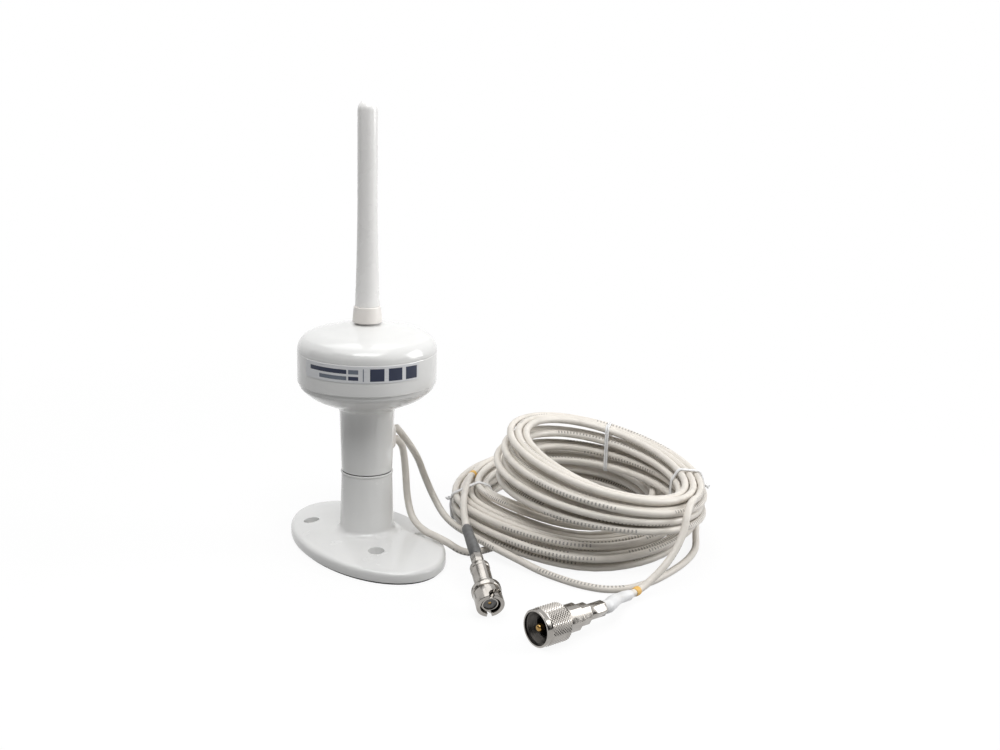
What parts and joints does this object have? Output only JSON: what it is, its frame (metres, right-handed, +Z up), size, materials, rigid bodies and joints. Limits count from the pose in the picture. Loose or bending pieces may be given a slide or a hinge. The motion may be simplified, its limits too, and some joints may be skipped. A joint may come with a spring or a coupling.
{
  "type": "combined marine aerial",
  "caption": "Pedestal aerial with a domed positioning head, a screw-on VHF whip, an oval screw-down base and two coaxial leads wound in tied coils that end in a bayonet plug and a screw plug.",
  "frame": {"origin": "on the column's axis, at the underside of the base's gasket", "axes": "+Z up along the column and the whip; -Y is the side that the head's label faces; +X is towards the coils"},
  "size_m": [0.2275, 0.2684, 0.235],
  "materials": {
    "seal_rubber": "matte",
    "white_plastic": "satin",
    "grey_plastic": "satin",
    "label_film": "metallic satin film",
    "plate_metal": "plain",
    "board": "solder mask",
    "ceramic": "fired ceramic",
    "steel": "zinc plated",
    "brass": "turned",
    "insulator": "turned",
    "glass_fibre": "pultruded",
    "copper": "enamelled wire",
    "marker_yellow": "matte",
    "grey_sleeve": "heat-shrink",
    "white_sleeve": "heat-shrink",
    "gold": "gold plated",
    "red_rubber": "silicone",
    "tie_wire": "plastic-covered wire",
    "cord_jacket": "satin jacket",
    "nickel": "nickel plated"
  },
  "bodies": {
    "aerial": {"base_gasket": "seal_rubber", "base_flange": "white_plastic", "lower_column": "white_plastic", "joint_seal": "seal_rubber", "upper_column": "white_plastic", "lower_cover": "white_plastic", "cable_grommet": "grey_plastic", "upper_cover": "white_plastic", "cover_seal": "seal_rubber", "label": "label_film", "ground_plane": "plate_metal", "circuit_board": "board", "gps_patch": "ceramic", "shield_can": "plate_metal", "board_screws": "steel", "stud_insulator": "insulator", "whip_stud": "brass", "stud_nut": "brass", "whip_seal": "seal_rubber", "gps_lead": "cord_jacket", "vhf_lead": "cord_jacket", "gps_run": "cord_jacket", "gps_coil": "cord_jacket", "gps_tail": "cord_jacket", "gps_marker": "marker_yellow", "gps_sleeve": "grey_sleeve", "bnc_ferrule": "nickel", "bnc_body": "nickel", "bnc_insulator": "insulator", "bnc_pin": "gold", "bnc_gasket": "red_rubber", "vhf_run": "cord_jacket", "vhf_coil": "cord_jacket", "vhf_tail": "cord_jacket", "vhf_marker": "marker_yellow", "vhf_sleeve": "white_sleeve", "uhf_ferrule": "nickel", "uhf_body": "nickel", "uhf_insulator": "insulator", "uhf_pin": "gold", "lower_tie": "tie_wire", "upper_back_tie": "tie_wire", "upper_side_tie": "tie_wire"},
    "whip": {"whip_collar": "grey_plastic", "whip_insert": "brass", "whip_core": "glass_fibre", "whip_radiator": "copper", "whip_sheath": "white_plastic"},
    "bayonet_nut": {"bnc_nut": "nickel"},
    "coupling_ring": {"uhf_ring": "nickel"}
  },
  "joints": [
    {"name": "whip_turn", "type": "hinge", "parent": "aerial", "child": "whip", "pos_m": [0, 0, 0.1226], "axis": [0, 0, 1], "continuous": true},
    {"name": "bayonet_nut_turn", "type": "hinge", "parent": "aerial", "child": "bayonet_nut", "pos_m": [0.0583, -0.099, 0.00686], "axis": [-0.1308, 0.9305, 0.342], "continuous": true},
    {"name": "coupling_ring_turn", "type": "hinge", "parent": "aerial", "child": "coupling_ring", "pos_m": [0.0762, -0.131, 0.00925], "axis": [0.829, 0.5592, 0], "continuous": true}
  ]
}
